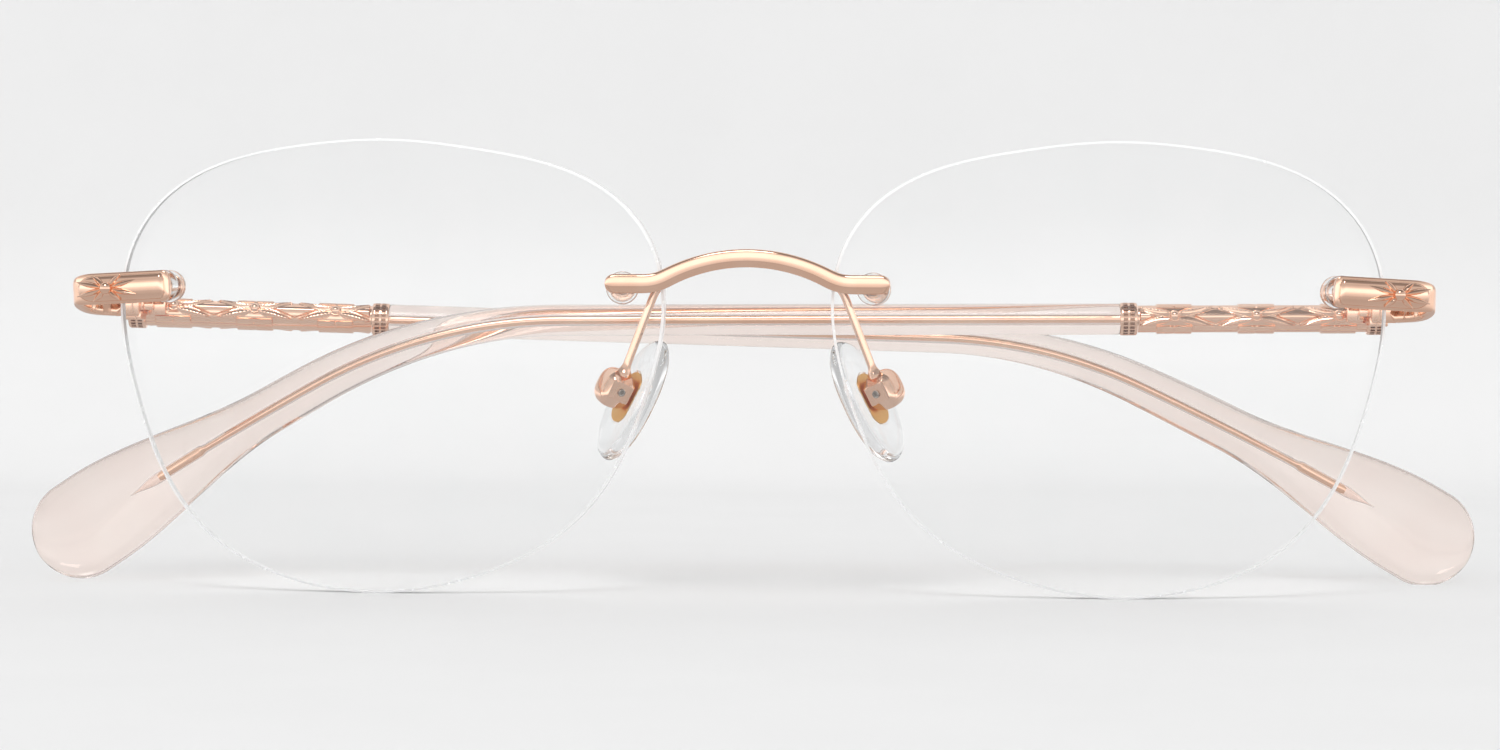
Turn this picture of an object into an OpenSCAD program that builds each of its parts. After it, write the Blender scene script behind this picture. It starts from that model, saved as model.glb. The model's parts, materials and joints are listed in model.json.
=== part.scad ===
// Rimless eyeglasses with folded temples: two drilled lenses, a bridge and two endpieces
// screwed to them, nose pads on wire arms, and two hinged temples with clear sleeves.
// X runs across the front, -Y faces the viewer, +Z is up, and the part stands on z = 0.

/* [Lenses] */
// Width of one lens
lens_w = 56; // [52:1:58]
// Height of one lens
lens_h = 46.2; // [44:0.2:48]
// Distance between the two lenses
bridge_gap = 17; // [15:1:19]
// Thickness at the middle of a lens
lens_t = 1.8; // [1.6:0.1:2.2]
// Radius of the front surface
lens_front_r = 200; // [180:10:260]
// Radius of the back surface
lens_back_r = 170; // [150:10:175]
// How far each lens turns back towards its temple
wrap = 3; // [0:0.5:5]

/* [Bridge] */
// Height of the bridge bar
bar_h = 2; // [1.6:0.1:2.4]
// Depth of the bridge bar
bar_d = 1.3; // [1:0.1:1.6]
// Radius of the arch along its middle
arch_r = 16.5; // [15:0.5:20]
// Half the span of the arch
arch_half = 9.05; // [8:0.05:10]

/* [Endpieces] */
// Length of the flat cap beyond the lens screw
cap_len = 8.9; // [8:0.1:10]
// Height of the cap
cap_h = 3.2; // [2.8:0.1:3.6]
// Thickness of the cap
cap_t = 1.3; // [1:0.1:1.6]
// How much the cap slopes down outwards
cap_slope = 3.2; // [0:0.2:6]

/* [Temples] */
// Length along the temple from the hinge screw to the tip
temple_len = 145; // [140:1:150]
// Where the temple starts to bend, along its length
bend_start = 84; // [80:1:90]
// Radius of the bend
bend_r = 53; // [45:1:65]
// Diameter of the decorated metal tube
tube_d = 2.95; // [2.6:0.05:3.2]
// Diameter of the core wire
core_d = 0.8; // [0.7:0.1:1.2]
// Turn of the bead row above the front line, right temple
bead_turn_right = 33; // [0:1:45]
// Turn of the bead row above the front line, left temple
bead_turn_left = 14; // [0:1:45]
// Fold angle of the right temple, which lies behind
fold_right = 3; // [2:0.5:5]
// Fold angle of the left temple, which lies next to the lenses
fold_left = -1.2; // [-2:0.2:0]
// Downward slope of the right temple
droop_right = 1.6; // [0:0.1:2]
// Downward slope of the left temple
droop_left = 0.4; // [0:0.1:2]
// Bend angle of the right temple
hook_right = 23.5; // [20:0.1:32]
// Bend angle of the left temple
hook_left = 28.8; // [20:0.1:34]

/* [Nose pads] */
// Length of a pad
pad_len = 13.4; // [12:0.2:15]
// Width of a pad
pad_w = 7.4; // [6.5:0.1:8]
// Thickness of a pad
pad_t = 2; // [1.8:0.1:2.4]
// Lean of the pads, tops together
pad_lean = 27; // [20:1:32]
// Turn of the pads away from facing straight back
pad_turn = 56; // [45:1:60]

/* [Hidden] */

gold = [0.86, 0.66, 0.54];
clear = [0.93, 0.95, 0.96, 0.35];
blush = [0.93, 0.80, 0.78, 0.6];

// Lens outline: a radius that varies with the angle from the temple side, fitted to the box size
function lens_radius(a) = 25.7 + 0.4 * cos(a) + sin(a) + 2.2 * cos(2 * a) - 0.2 * sin(2 * a)
    - 0.2 * cos(3 * a) + 1.3 * sin(3 * a) - 0.6 * cos(4 * a) + 0.3 * sin(5 * a) - 0.3 * cos(6 * a);
outline_raw = [for (a = [0:4:356]) lens_radius(a) * [cos(a), sin(a)]];
raw_x = [for (p = outline_raw) p[0]];
raw_z = [for (p = outline_raw) p[1]];
stretch_x = lens_w / (max(raw_x) - min(raw_x));
stretch_z = lens_h / (max(raw_z) - min(raw_z));
outline = [for (p = outline_raw) [(p[0] - (max(raw_x) + min(raw_x)) / 2) * stretch_x, p[1] * stretch_z]];
lens_x = (bridge_gap + lens_w) / 2;
lens_z = -min(raw_z) * stretch_z;
// Depth of the lens front, so that the part's box is centred on the origin
lens_y = -10.8;

// Drilled holes, from the lens centre: towards the nose, and towards the temple
nose_hole = [-23.8, 8.1];
temple_hole = [23.3, 8];
hole_r = 0.97;
screw_r = 0.6;
washer_r = 1.65;
washer_t = 0.35;
seat_gap = 0.05;
function hole_rho(h) = sqrt(h[0] * h[0] + h[1] * h[1]);
// Lens thickness along the normal at a hole
function hole_t(h) = let (c = sqrt(1 - pow(hole_rho(h) / lens_front_r, 2)),
    w = lens_front_r - lens_t - lens_back_r)
    lens_front_r - c * w - sqrt(pow(c * w, 2) - w * w + lens_back_r * lens_back_r);

// Hinge screw
pin_x = 64.2;
pin_y = lens_y + 11.6;
pin_z = 28.2;
pin_r = 0.5;
pin_bore_r = 0.54;
barrel_r = 1.1;
barrel_half = 0.55;
hinge_half = 1.55;
barrel_gap = 0.06;
// Height of the hinge's middle above the tube's axis
hinge_rise = 0.8;
hinge_z = pin_z + hinge_rise;
// Offset of the tube's axis from the hinge screw
tube_off = 3;
tube_r = tube_d / 2;
collar_r = 1.7;
collar_len = 1.8;
tube_start = -1;
tube_end = 26.2;
bead_first = 3.7;
bead_pitch = 8.45;
bead_r = 0.5;

// Nose pad places
pad_pos = [11.9, lens_y + 6.9, 19.6];
pad_screw_y = -2.6;
pad_screw_z = 0.3;
arm_r = 0.38;

// Temple path: straight, then one bend, then a hook that keeps curling a little
curl = 6;
function bend_len(hook) = bend_r * hook * PI / 180;
function path_angle(s, hook) = s < bend_start ? 0
    : s < bend_start + bend_len(hook) ? (s - bend_start) / bend_r * 180 / PI
    : hook + curl * (s - bend_start - bend_len(hook)) / (temple_len - bend_start - bend_len(hook));
path_count = 49;
path_s = [for (i = [0:path_count]) bend_start + (temple_len - bend_start) * i / path_count];
function path_ds() = (temple_len - bend_start) / path_count;
function path_points(hook, i = 0, p = [bend_start, 0]) = i > path_count ? []
    : let (a = path_angle(path_s[i] + path_ds() / 2, hook))
    concat([p], path_points(hook, i + 1, p + path_ds() * [cos(a), -sin(a)]));
// Place and direction of the centre line at length s
function path_at(s, hook, pts) = s <= bend_start ? [s, 0, 0]
    : let (f = (s - bend_start) / path_ds(), i = min(floor(f), path_count - 1), t = f - i,
        p = pts[i] * (1 - t) + pts[i + 1] * t)
    [p[0], p[1], path_angle(s, hook)];

function smooth(t) = let (c = min(max(t, 0), 1)) c * c * (3 - 2 * c);
// Sleeve: half its height and half its thickness along the temple, with a round end
paddle_half = 5.2;
end_start = temple_len - paddle_half;
function end_round(s) = s <= end_start ? 1 : sqrt(max(1 - pow((s - end_start) / paddle_half, 2), 0.0001));
function sleeve_half(s) = (1.62 + 0.83 * smooth((s - 84) / 34) + 2.75 * smooth((s - 116) / 22)) * end_round(s);
function sleeve_thick(s) = (1.62 - 0.37 * smooth((s - 100) / 38)) * pow(end_round(s), 0.5);
// Core wire: round, with a flattened blade near its end
blade_start = 124;
core_end = 130;
cavity_end = 133.5;
function core_half(s) = core_d / 2 + 0.12 * smooth((s - blade_start) / 0.8);
function core_thick(s) = core_d / 2 - 0.14 * smooth((s - blade_start) / 0.8);
core_fit = 0.03;

// Rings of a swept solid: stations, half heights and half thicknesses
ring_sides = 24;
function ring(p, a, half, thick) = [for (k = [0:ring_sides - 1]) let (q = 360 * k / ring_sides)
    [p[0] + half * sin(q) * sin(a), tube_off + thick * cos(q), p[1] + half * sin(q) * cos(a)]];
function flat_list(lists) = [for (l = lists) each l];

sleeve_s = concat([tube_end, 45, 65], [for (s = [84:2.5:end_start - 1]) s],
    [for (i = [0:7]) end_start + paddle_half * sin(i * 90 / 8)], [temple_len - 0.02]);
channel_s = concat([tube_end, 45, 65], [for (s = [84:3:blade_start]) s], [124.4, 124.8, core_end, cavity_end]);
wire_s = concat([21, 45, 65], [for (s = [84:3:blade_start]) s], [124.4, 124.8, core_end]);

module on_side(side) {
    if (side == "left") {
        children();
    } else {
        mirror([1, 0, 0]) children();
    }
}

// Frame of a drilled hole on the left lens: origin on the front surface, -Y out of it
module at_hole(h) {
    lift = asin(h[1] / lens_front_r);
    translate([lens_x, lens_y, lens_z])
        rotate([0, 0, wrap])
            translate([0, lens_front_r, 0])
                rotate([-lift, 0, asin(h[0] / (lens_front_r * cos(lift)))])
                    translate([0, -lens_front_r, 0])
                        children();
}

// Every drilled hole, on both lenses
module at_holes() {
    for (side = ["right", "left"]) {
        on_side(side) at_hole(nose_hole) children();
        on_side(side) at_hole(temple_hole) children();
    }
}

// Cylinder along Y from y0 to y1
module y_rod(r, y0, y1, sides = 48) {
    translate([0, y0, 0])
        rotate([-90, 0, 0])
            cylinder(r = r, h = y1 - y0, $fn = sides);
}

module lens() {
    difference() {
        translate([lens_x, lens_y, lens_z])
            rotate([0, 0, wrap])
                difference() {
                    intersection() {
                        translate([0, 9, 0])
                            rotate([90, 0, 0])
                                linear_extrude(10) polygon(outline);
                        translate([0, lens_front_r, 0]) sphere(r = lens_front_r, $fn = 256);
                    }
                    translate([0, lens_t + lens_back_r, 0]) sphere(r = lens_back_r, $fn = 256);
                }
        at_hole(nose_hole) y_rod(hole_r, -2, 6);
        at_hole(temple_hole) y_rod(hole_r, -2, 6);
    }
}

module lens_bushings() {
    color(clear)
        at_holes()
            difference() {
                y_rod(hole_r - 0.02, 0.03, hole_t(nose_hole) - 0.05);
                y_rod(screw_r + 0.03, -1, 4);
            }
}

module front_washers() {
    color(clear)
        at_holes()
            difference() {
                y_rod(washer_r, -washer_t, 0);
                y_rod(screw_r + 0.03, -1, 4);
            }
}

module rear_washers() {
    color(clear)
        at_holes()
            difference() {
                y_rod(washer_r, hole_t(nose_hole) + seat_gap, hole_t(nose_hole) + seat_gap + 0.45);
                y_rod(screw_r + 0.03, -1, 4);
            }
}

module lens_nuts() {
    nut_y = hole_t(nose_hole) + seat_gap + 0.45;
    color(gold)
        at_holes()
            difference() {
                union() {
                    y_rod(1.25, nut_y, nut_y + 0.3);
                    y_rod(1.2, nut_y + 0.3, nut_y + 1.2, 6);
                }
                y_rod(screw_r + 0.02, 0, 6);
            }
}

module lens_screws() {
    screw_end = hole_t(nose_hole) + 1.95;
    color(gold)
        at_holes()
            union() {
                y_rod(screw_r, -washer_t, screw_end);
                translate([0, screw_end, 0])
                    rotate([-90, 0, 0])
                        cylinder(r1 = screw_r, r2 = 0.4, h = 0.2, $fn = 48);
            }
}

// Bridge: two flat ends on the lenses and an arch with a bevelled underside between them
module bridge_end() {
    end_x = 1.8;
    at_hole(nose_hole)
        translate([0, -washer_t - bar_d + 0.1, 0.4]) {
            y_shift = bar_d - 0.1;
            translate([end_x - bar_h / 2, 0, 0]) y_rod(bar_h / 2, 0, y_shift);
            translate([-4.4, 0, -bar_h / 2]) cube([4.4 + end_x - bar_h / 2, y_shift, bar_h]);
        }
}

module bridge() {
    arch_z = 34.27 - arch_r;
    arch_a = asin(arch_half / arch_r);
    arch_y = lens_y - 0.4;
    h = 1.87;
    color(gold)
        union() {
            bridge_end();
            mirror([1, 0, 0]) bridge_end();
            translate([0, arch_y, arch_z])
                rotate([90, 0, 0])
                    rotate([0, 0, 90 - arch_a - 2])
                        rotate_extrude(angle = 2 * arch_a + 4, $fn = 180)
                            translate([arch_r, 0])
                                polygon([[-h / 2, -bar_d / 2], [h / 2, -bar_d / 2], [h / 2, bar_d / 2 - 0.2],
                                    [h / 2 - 0.2, bar_d / 2], [-h / 2 + 0.5, bar_d / 2], [-h / 2, bar_d / 2 - 0.5]]);
        }
}

// Rod with round ends between two points
module rod(a, b, r) {
    d = b - a;
    translate(a)
        rotate([0, acos(d[2] / norm(d)), atan2(d[1], d[0])])
            cylinder(r = r, h = norm(d), $fn = 32);
    translate(b) sphere(r = r + 0.02, $fn = 32);
}

// Pad arm: from the back of the bridge, past the edge of the lens and down to the pad box
module pad_arm() {
    p0 = [8, lens_y + 0.2, 32];
    p1 = [8, lens_y + 3.5, 32];
    p2 = [9.45, lens_y + 4.4, 31.4];
    p3 = [12.9, lens_y + 5.3, 22.2];
    color(gold)
        union() {
            rod(p0, p1, arm_r);
            rod(p1, p2, arm_r);
            rod(p2, p3, arm_r);
        }
}

// Frame of a pad: Z along the pad, -Y out of its back
module at_pad() {
    translate(pad_pos)
        rotate([0, -pad_lean, 0])
            rotate([0, 0, pad_turn])
                children();
}

module pad_profile() {
    round = 0.8;
    translate([-0.01, -pad_t / 2]) square([pad_w / 2 - round + 0.01, pad_t]);
    translate([-0.01, round - pad_t / 2]) square([pad_w / 2 + 0.01, pad_t - 2 * round]);
    for (y = [round - pad_t / 2, pad_t / 2 - round]) {
        translate([pad_w / 2 - round, y]) circle(r = round, $fn = 32);
    }
}

// Right half of the profile only, for turning
module pad_puck() {
    rotate_extrude($fn = 64)
        intersection() {
            pad_profile();
            translate([0, -pad_t]) square([pad_w, 2 * pad_t]);
        }
}

module insert_plate(grow, deep) {
    insert_w = 2.8 + grow;
    insert_len = 5.6 + grow;
    y0 = -pad_t / 2;
    half = (insert_len - insert_w) / 2;
    for (z = [-half, half]) {
        translate([0, 0, z]) y_rod(insert_w / 2, y0, y0 + deep);
    }
    translate([-insert_w / 2, y0, -half]) cube([insert_w, deep, 2 * half]);
}

module nose_pad() {
    half = (pad_len - pad_w) / 2;
    color(clear)
        at_pad()
            difference() {
                union() {
                    translate([0, 0, half]) rotate([90, 0, 0]) pad_puck();
                    translate([0, 0, -half]) rotate([90, 0, 0]) pad_puck();
                    translate([0, 0, -half])
                        linear_extrude(2 * half)
                            union() {
                                pad_profile();
                                mirror([1, 0]) pad_profile();
                            }
                }
                translate([0, -0.1, 0]) insert_plate(0.04, 0.48);
            }
}

module pad_insert() {
    tongue_half = 0.45;
    color(gold)
        at_pad()
            difference() {
                union() {
                    insert_plate(0, 0.36);
                    translate([-tongue_half, -3.2, pad_screw_z - 1]) cube([2 * tongue_half, 3.2 - pad_t / 2 + 0.1, 2]);
                }
                translate([-2, pad_screw_y, pad_screw_z]) rotate([0, 90, 0]) cylinder(r = 0.44, h = 4, $fn = 48);
            }
}

module pad_box() {
    color(gold)
        at_pad()
            translate([0, pad_screw_y, pad_screw_z])
                difference() {
                    intersection() {
                        translate([-2, -1.9, -2]) cube([4, 3.15, 4]);
                        translate([0.35, 0.2, 0]) sphere(r = 2.55, $fn = 64);
                    }
                    translate([-0.6, -1.2, -1.3]) cube([1.2, 4, 2.6]);
                    translate([-3, 0, 0]) rotate([0, 90, 0]) cylinder(r = 0.42, h = 6, $fn = 48);
                }
}

module pad_screw() {
    color(gold)
        at_pad()
            translate([-1.95, pad_screw_y, pad_screw_z])
                rotate([0, 90, 0])
                    cylinder(r = 0.4, h = 4.4, $fn = 48);
}

// Endpiece: bevelled cap in front of the lens, and an arm that wraps back to two hinge barrels
module cap_plate() {
    back_y = -washer_t;
    at_hole(temple_hole)
        rotate([0, cap_slope, 0])
            hull() {
                translate([-0.9, back_y - 0.9, -cap_h / 2]) cube([cap_len + 0.9, 0.9, cap_h]);
                translate([-0.5, back_y - cap_t, -cap_h / 2 + 0.35]) cube([cap_len + 0.5, cap_t, cap_h - 0.7]);
            }
}

module arm_post(p, h, r = 0.75) {
    translate([p[0], p[1], p[2] - h / 2]) cylinder(r = r, h = h, $fn = 32);
}

module endpiece() {
    end_y = pin_y - 1.1;
    corner = [68.5, lens_y + 3.25, 30.75];
    outer = [69.2, lens_y + 5.2, 30.4];
    color(gold)
        difference() {
            union() {
                cap_plate();
                hull() {
                    at_hole(temple_hole)
                        rotate([0, cap_slope, 0])
                            translate([cap_len - 0.6, -washer_t - cap_t, -cap_h / 2 + 0.2])
                                cube([0.5, cap_t, cap_h - 0.4]);
                    arm_post(corner, cap_h - 0.3);
                    arm_post(outer, cap_h - 0.3);
                }
                hull() {
                    arm_post(outer, cap_h - 0.3);
                    translate([65.6, end_y - 1.5, hinge_z - 1.5]) cube([3.2, 1.5, 3]);
                    translate([66.4, end_y - 2.6, hinge_z - 1.2]) cube([2.2, 1, 3]);
                }
                for (z = [-hinge_half, barrel_half + barrel_gap]) {
                    translate([pin_x, pin_y, hinge_z + z])
                        cylinder(r = barrel_r, h = hinge_half - barrel_half - barrel_gap, $fn = 48);
                    translate([pin_x - barrel_r, end_y - 1.5, hinge_z + z])
                        cube([2 * barrel_r - 0.2, pin_y - end_y + 1.5, hinge_half - barrel_half - barrel_gap]);
                }
                translate([pin_x - barrel_r, end_y - 1.5, hinge_z - hinge_half])
                    cube([2.9, 1.2, 2 * hinge_half]);
            }
            translate([pin_x, pin_y, hinge_z - 3]) cylinder(r = pin_bore_r, h = 6, $fn = 48);
        }
}

// Star ornament: a bead on six pointed petals, two long ones along the cap and four short ones
star_peaks = [[0, 2.95], [48, 1.3], [132, 1.3]];
star_valleys = [[20, 0.42], [90, 0.42], [160, 0.42]];
star_rim = [for (turn = [0, 180], k = [0:2], p = [star_peaks[k], star_valleys[k]])
    [p[1] * cos(p[0] + turn), 0, p[1] * sin(p[0] + turn)]];
star_lift = 0.4;

module star() {
    n = len(star_rim);
    color(gold)
        at_hole(temple_hole)
            rotate([0, cap_slope, 0])
                translate([5.6, -washer_t - cap_t, 0])
                    union() {
                        polyhedron(points = concat(star_rim, [[0, 0, 0], [0, -star_lift, 0]]),
                            faces = [for (k = [0:n - 1], f = [[k, (k + 1) % n, n], [(k + 1) % n, k, n + 1]]) f]);
                        intersection() {
                            sphere(r = 0.55, $fn = 48);
                            translate([-1, -1, -1]) cube([2, 0.9, 2]);
                        }
                    }
}

module hinge_screw() {
    color(gold)
        translate([pin_x, pin_y, hinge_z])
            difference() {
                union() {
                    translate([0, 0, -hinge_half]) cylinder(r = pin_r, h = 2 * hinge_half, $fn = 48);
                    translate([0, 0, hinge_half]) cylinder(r1 = 0.9, r2 = 0.75, h = 0.4, $fn = 48);
                }
                translate([-1, -0.1, hinge_half + 0.2]) cube([2, 0.2, 1]);
            }
}

// Frame of a temple: origin on the hinge screw, X along the folded temple, Y away from the lenses
module at_temple(side) {
    if (side == "right") {
        translate([-pin_x, pin_y, pin_z]) rotate([0, 0, fold_right]) children();
    } else {
        mirror([1, 0, 0]) translate([-pin_x, pin_y, pin_z]) rotate([0, 0, fold_left]) children();
    }
}

function droop(side) = side == "right" ? droop_right : droop_left;
function hook(side) = side == "right" ? hook_right : hook_left;

module x_rod(r, x0, x1, sides = 48) {
    translate([x0, tube_off, 0])
        rotate([0, 90, 0])
            cylinder(r = r, h = x1 - x0, $fn = sides);
}

module hinge_leaf(side) {
    box_x = 1.3;
    box_len = 1.8;
    color(gold)
        at_temple(side)
            difference() {
                union() {
                    translate([0, 0, hinge_rise - barrel_half]) cylinder(r = barrel_r, h = 2 * barrel_half, $fn = 48);
                    translate([0, -0.5, hinge_rise - barrel_half]) cube([box_x + 0.5, 1.7, 2 * barrel_half]);
                    translate([box_x, 0.1, -0.3]) cube([box_len, 1.9, 1.9]);
                }
                rotate([0, droop(side), 0]) x_rod(tube_r + 0.005, -3, 8);
                translate([0, 0, -3]) cylinder(r = pin_bore_r, h = 6, $fn = 48);
            }
}

module tube(side) {
    color(gold)
        at_temple(side)
            rotate([0, droop(side), 0])
                difference() {
                    x_rod(tube_r, tube_start + collar_len, tube_end - collar_len);
                    x_rod(core_d / 2 + 0.05, 20.5, tube_end);
                }
}

// Collar with two rows of small rectangular pockets all round
module collar(side, x0, bore) {
    pockets = 12;
    color(gold)
        at_temple(side)
            rotate([0, droop(side), 0])
                difference() {
                    x_rod(collar_r, x0, x0 + collar_len);
                    if (bore) {
                        x_rod(core_d / 2 + 0.05, x0 - 1, x0 + collar_len + 1);
                    }
                    for (row = [0.5, 1.3], k = [0:pockets - 1]) {
                        translate([x0 + row, tube_off, 0])
                            rotate([360 * k / pockets, 0, 0])
                                translate([-0.25, -0.27, collar_r - 0.2])
                                    cube([0.5, 0.54, 1]);
                    }
                }
}

module tube_beads(side) {
    color(gold)
        at_temple(side)
            rotate([0, droop(side), 0])
                difference() {
                    for (k = [0:2]) {
                        translate([bead_first + k * bead_pitch, tube_off, 0])
                            rotate([side == "right" ? -bead_turn_right : -bead_turn_left, 0, 0])
                                translate([0, -tube_r - 0.1, 0])
                                    sphere(r = bead_r, $fn = 64);
                    }
                    x_rod(tube_r + 0.005, 0, tube_end);
                }
}

// Closed skin from rings, each with ring_sides points, with a flat first and last ring
function skin_faces(n) = concat([[for (k = [0:ring_sides - 1]) k]],
    [for (i = [0:n - 2], k = [0:ring_sides - 1]) let (j = (k + 1) % ring_sides)
        [i * ring_sides + k, (i + 1) * ring_sides + k, (i + 1) * ring_sides + j, i * ring_sides + j]],
    [[for (k = [ring_sides - 1:-1:0]) (n - 1) * ring_sides + k]]);

module core_wire(side) {
    pts = path_points(hook(side));
    rings = [for (s = wire_s) let (p = path_at(s, hook(side), pts)) ring(p, p[2], core_half(s), core_thick(s))];
    color(gold)
        at_temple(side)
            rotate([0, droop(side), 0])
                polyhedron(points = flat_list(rings), faces = skin_faces(len(wire_s)), convexity = 6);
}

// Sleeve: an outer skin and a blind channel for the core wire, joined by a flat ring at the start
module sleeve(side) {
    pts = path_points(hook(side));
    outer = [for (s = sleeve_s) let (p = path_at(s, hook(side), pts)) ring(p, p[2], sleeve_half(s), sleeve_thick(s))];
    inner = [for (s = channel_s) let (p = path_at(s, hook(side), pts), e = s == cavity_end ? 0.3 : 1)
        ring(p, p[2], (core_half(s) + core_fit) * e, core_thick(s) + core_fit)];
    n = len(sleeve_s);
    m = len(channel_s);
    base = n * ring_sides;
    faces = concat(
        [for (i = [0:n - 2], k = [0:ring_sides - 1]) let (j = (k + 1) % ring_sides)
            [i * ring_sides + k, (i + 1) * ring_sides + k, (i + 1) * ring_sides + j, i * ring_sides + j]],
        [[for (k = [ring_sides - 1:-1:0]) (n - 1) * ring_sides + k]],
        [for (i = [0:m - 2], k = [0:ring_sides - 1]) let (j = (k + 1) % ring_sides)
            [base + i * ring_sides + j, base + (i + 1) * ring_sides + j, base + (i + 1) * ring_sides + k,
                base + i * ring_sides + k]],
        [[for (k = [0:ring_sides - 1]) base + (m - 1) * ring_sides + k]],
        [for (k = [0:ring_sides - 1]) let (j = (k + 1) % ring_sides) [k, j, base + j, base + k]]);
    color(blush)
        at_temple(side)
            rotate([0, droop(side), 0])
                polyhedron(points = concat(flat_list(outer), flat_list(inner)), faces = faces, convexity = 8);
}

color(clear) on_side("right") lens();  // lens_right
color(clear) on_side("left") lens();  // lens_left
bridge();
on_side("right") pad_arm();  // pad_arm_right
on_side("left") pad_arm();  // pad_arm_left
on_side("right") pad_box();  // pad_box_right
on_side("left") pad_box();  // pad_box_left
on_side("right") pad_screw();  // pad_screw_right
on_side("left") pad_screw();  // pad_screw_left
on_side("right") pad_insert();  // pad_insert_right
on_side("left") pad_insert();  // pad_insert_left
on_side("right") nose_pad();  // nose_pad_right
on_side("left") nose_pad();  // nose_pad_left
on_side("right") endpiece();  // endpiece_right
on_side("left") endpiece();  // endpiece_left
on_side("right") star();  // star_right
on_side("left") star();  // star_left
lens_screws();
lens_bushings();
front_washers();
rear_washers();
lens_nuts();
on_side("right") hinge_screw();  // hinge_screw_right
on_side("left") hinge_screw();  // hinge_screw_left
hinge_leaf("right");  // hinge_leaf_right
hinge_leaf("left");  // hinge_leaf_left
tube("right");  // tube_right
tube("left");  // tube_left
collar("right", tube_start, false);  // front_collar_right
collar("left", tube_start, false);  // front_collar_left
collar("right", tube_end - collar_len, true);  // rear_collar_right
collar("left", tube_end - collar_len, true);  // rear_collar_left
tube_beads("right");  // tube_beads_right
tube_beads("left");  // tube_beads_left
core_wire("right");  // core_wire_right
core_wire("left");  // core_wire_left
sleeve("right");  // sleeve_right
sleeve("left");  // sleeve_left
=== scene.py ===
import json
import math

import bmesh
import bpy
import numpy as np
from mathutils import Matrix, Vector


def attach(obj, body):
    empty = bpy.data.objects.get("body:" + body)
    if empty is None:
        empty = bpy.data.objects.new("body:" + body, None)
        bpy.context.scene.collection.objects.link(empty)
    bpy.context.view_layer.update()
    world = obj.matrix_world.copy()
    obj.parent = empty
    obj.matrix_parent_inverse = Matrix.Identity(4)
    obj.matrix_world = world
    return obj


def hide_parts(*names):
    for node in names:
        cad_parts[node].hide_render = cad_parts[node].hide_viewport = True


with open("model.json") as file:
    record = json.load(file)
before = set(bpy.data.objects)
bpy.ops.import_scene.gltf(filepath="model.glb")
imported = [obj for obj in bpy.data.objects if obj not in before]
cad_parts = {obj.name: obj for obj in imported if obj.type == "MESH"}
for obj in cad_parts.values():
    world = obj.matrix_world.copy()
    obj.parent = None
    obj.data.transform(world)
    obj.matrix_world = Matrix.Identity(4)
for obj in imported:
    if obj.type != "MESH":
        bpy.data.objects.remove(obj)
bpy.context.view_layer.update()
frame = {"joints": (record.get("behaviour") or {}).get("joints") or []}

# Rimless eyeglasses with folded temples. Lengths are in millimetres until a mesh is made.
# X runs across the front, -Y faces the viewer, +Z is up. The left side is built at +X.
MM = 0.001
MIRROR = Matrix.Scale(-1, 4, (1, 0, 0))
SIDES = ("right", "left")

# Hinge screw of the left temple, from the frame
HINGES = {j["name"]: Vector(j["pos_m"]) / MM for j in frame["joints"]}
PIN = HINGES["temple_left_hinge"]
LENS_Y = PIN.y - 11.6
# The middle of the hinge's barrels is above the axis of the tube
HINGE_RISE = 0.8
HINGE = Matrix.Translation(PIN + Vector((0, 0, HINGE_RISE)))
BARREL_R = 1.1

# Lenses
LENS_W = 56.0
LENS_H = 46.2
BRIDGE_GAP = 17.0
LENS_T = 1.8
FRONT_R = 200.0
BACK_R = 170.0
WRAP = 3.0
EDGE_BEVEL = 0.24
LENS_X = (BRIDGE_GAP + LENS_W) / 2
NOSE_HOLE = (-23.8, 8.1)
TEMPLE_HOLE = (23.3, 8.0)
HOLES = (NOSE_HOLE, TEMPLE_HOLE)
HOLE_R = 0.97
HOLE_T = 2.06
WASHER_T = 0.35
REAR_WASHER_T = 0.45
SEAT_GAP = 0.05
WASHER_R = 1.65
SCREW_CLEAR_R = 0.63

# Bridge
BAR_H = 1.95
BAR_D = 1.25
ARCH_TOP = 34.27
ARCH_R = 16.5

# Endpieces
CAP_START = -0.9
CAP_LEN = 8.9
CAP_H = 3.2
CAP_T = 1.3
CAP_SLOPE = 3.2
STAR_X = 5.6

# Temples
TEMPLE_LEN = 145.0
BEND_START = 84.0
BEND_R = 53.0
CURL = 6.0
TUBE_OFF = 3.0
TUBE_R = 1.475
COLLAR_R = 1.7
COLLAR_LEN = 1.8
TUBE_START = -1.0
TUBE_END = 26.2
BEAD_X = (3.7, 12.15, 20.6)
BEAD_PITCH = 8.45
BEAD_TURN = {"right": 33.0, "left": 14.0}
FOLD = {"right": 3.0, "left": -1.2}
DROOP = {"right": 1.6, "left": 0.4}
HOOK = {"right": 23.5, "left": 28.8}
PADDLE_HALF = 5.2
CORE_R = 0.4
BLADE_START = 124.0
BLADE_FLARE = 0.8
WIRE_START = 21.0
WIRE_END = 130.0
CAVITY_END = 133.5

# Nose pads
PAD_LEN = 13.4
PAD_W = 7.4
PAD_T = 2.0
PAD_POS = (11.9, LENS_Y + 6.9, 19.6)
PAD_LEAN = 27.0
PAD_TURN = 56.0
PAD_SCREW = (0.0, -2.6, 0.3)
INSERT_R = 1.4

# Camera: what it looks at, its distance, its angles and its focal length
CAMERA_AIM = (0.3, LENS_Y, 22.5)
CAMERA_FAR = 419.0
CAMERA_YAW = 2.6
CAMERA_LIFT = 2.2
CAMERA_ROLL = 0.25
CAMERA_LENS = 99.8

# Light from the sky: sine of the height above the horizon, and brightness
SKY = ((-1.0, 0.4), (-0.04, 0.32), (0.1, 0.36), (0.3, 0.48),
       (0.4, 0.86), (0.62, 0.95), (0.72, 0.42), (1.0, 0.2))
SKY_STRENGTH = 1.8
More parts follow.
